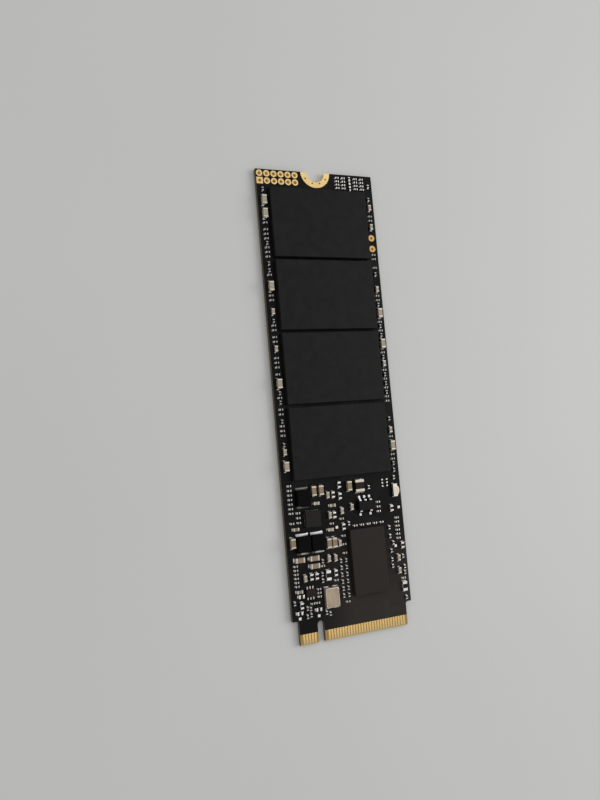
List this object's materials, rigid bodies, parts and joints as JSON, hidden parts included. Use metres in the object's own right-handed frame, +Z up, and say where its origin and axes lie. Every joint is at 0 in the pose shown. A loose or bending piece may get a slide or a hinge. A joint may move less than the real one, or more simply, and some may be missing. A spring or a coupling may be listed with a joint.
{
  "type": "m.2 nvme solid-state drive",
  "caption": "Bare solid-state drive module: dark board with memory packages in a row, controller, power parts, keyed card-edge tongue with gold contacts and a half-round screw notch.",
  "frame": {"origin": "middle of the board's outline, on its flat underside", "axes": "+X across the board, +Y along it towards the screw notch, +Z up from the underside to the parts"},
  "size_m": [0.022, 0.08, 0.0018],
  "materials": {
    "board_mask": "dark solder mask over laminate, satin",
    "gold": "gold plate over copper",
    "memory_mould": "matte moulding compound",
    "controller_mould": "matte moulding compound, warmer",
    "chip_mould": "matte moulding compound",
    "inductor_mould": "pressed iron powder compound",
    "tin": "bright tin and solder",
    "capacitor_ceramic": "fired tan ceramic",
    "small_ceramic": "fired brown ceramic",
    "resistor_glaze": "black overglaze",
    "fuse_body": "dark reddish body",
    "crystal_base": "dark ceramic",
    "crystal_lid": "nickel-plated lid, satin",
    "light_base": "pale base",
    "light_lens": "cream resin"
  },
  "bodies": {
    "root": {"activity_light_base": "light_base", "activity_light_ends": "tin", "activity_light_lens": "light_lens", "circuit_board": "board_mask", "controller_package": "controller_mould", "crystal_base": "crystal_base", "crystal_lid": "crystal_lid", "edge_contacts_bottom": "gold", "edge_contacts_top": "gold", "header_hole_plating": "gold", "inductor_core_1": "inductor_mould", "inductor_core_2": "inductor_mould", "inductor_core_3": "inductor_mould", "inductor_terminals": "tin", "input_fuse_body": "fuse_body", "input_fuse_ends": "tin", "left_strip_large_capacitor_bodies": "capacitor_ceramic", "left_strip_large_capacitor_ends": "tin", "left_strip_medium_capacitor_bodies": "capacitor_ceramic", "left_strip_medium_capacitor_ends": "tin", "left_strip_small_part_bodies": "small_ceramic", "left_strip_small_part_ends": "tin", "logic_chip_body": "chip_mould", "logic_chip_legs": "tin", "nand_package_1": "memory_mould", "nand_package_2": "memory_mould", "nand_package_3": "memory_mould", "nand_package_4": "memory_mould", "power_chip_body": "chip_mould", "power_chip_leads": "tin", "power_large_capacitor_bodies": "capacitor_ceramic", "power_large_capacitor_ends": "tin", "power_medium_capacitor_bodies": "capacitor_ceramic", "power_medium_capacitor_ends": "tin", "power_resistor_bodies": "resistor_glaze", "power_resistor_ends": "tin", "power_small_part_bodies": "small_ceramic", "power_small_part_ends": "tin", "regulator_body": "chip_mould", "regulator_legs": "tin", "right_strip_large_capacitor_bodies": "capacitor_ceramic", "right_strip_large_capacitor_ends": "tin", "right_strip_medium_capacitor_bodies": "capacitor_ceramic", "right_strip_medium_capacitor_ends": "tin", "right_strip_small_part_bodies": "small_ceramic", "right_strip_small_part_ends": "tin", "screw_end_small_part_bodies": "small_ceramic", "screw_end_small_part_ends": "tin", "screw_notch_plating": "gold", "side_medium_capacitor_bodies": "capacitor_ceramic", "side_medium_capacitor_ends": "tin", "side_resistor_bodies": "resistor_glaze", "side_resistor_ends": "tin", "side_small_part_bodies": "small_ceramic", "side_small_part_ends": "tin", "solder_pads": "tin", "test_hole_plating": "gold"}
  },
  "joints": []
}
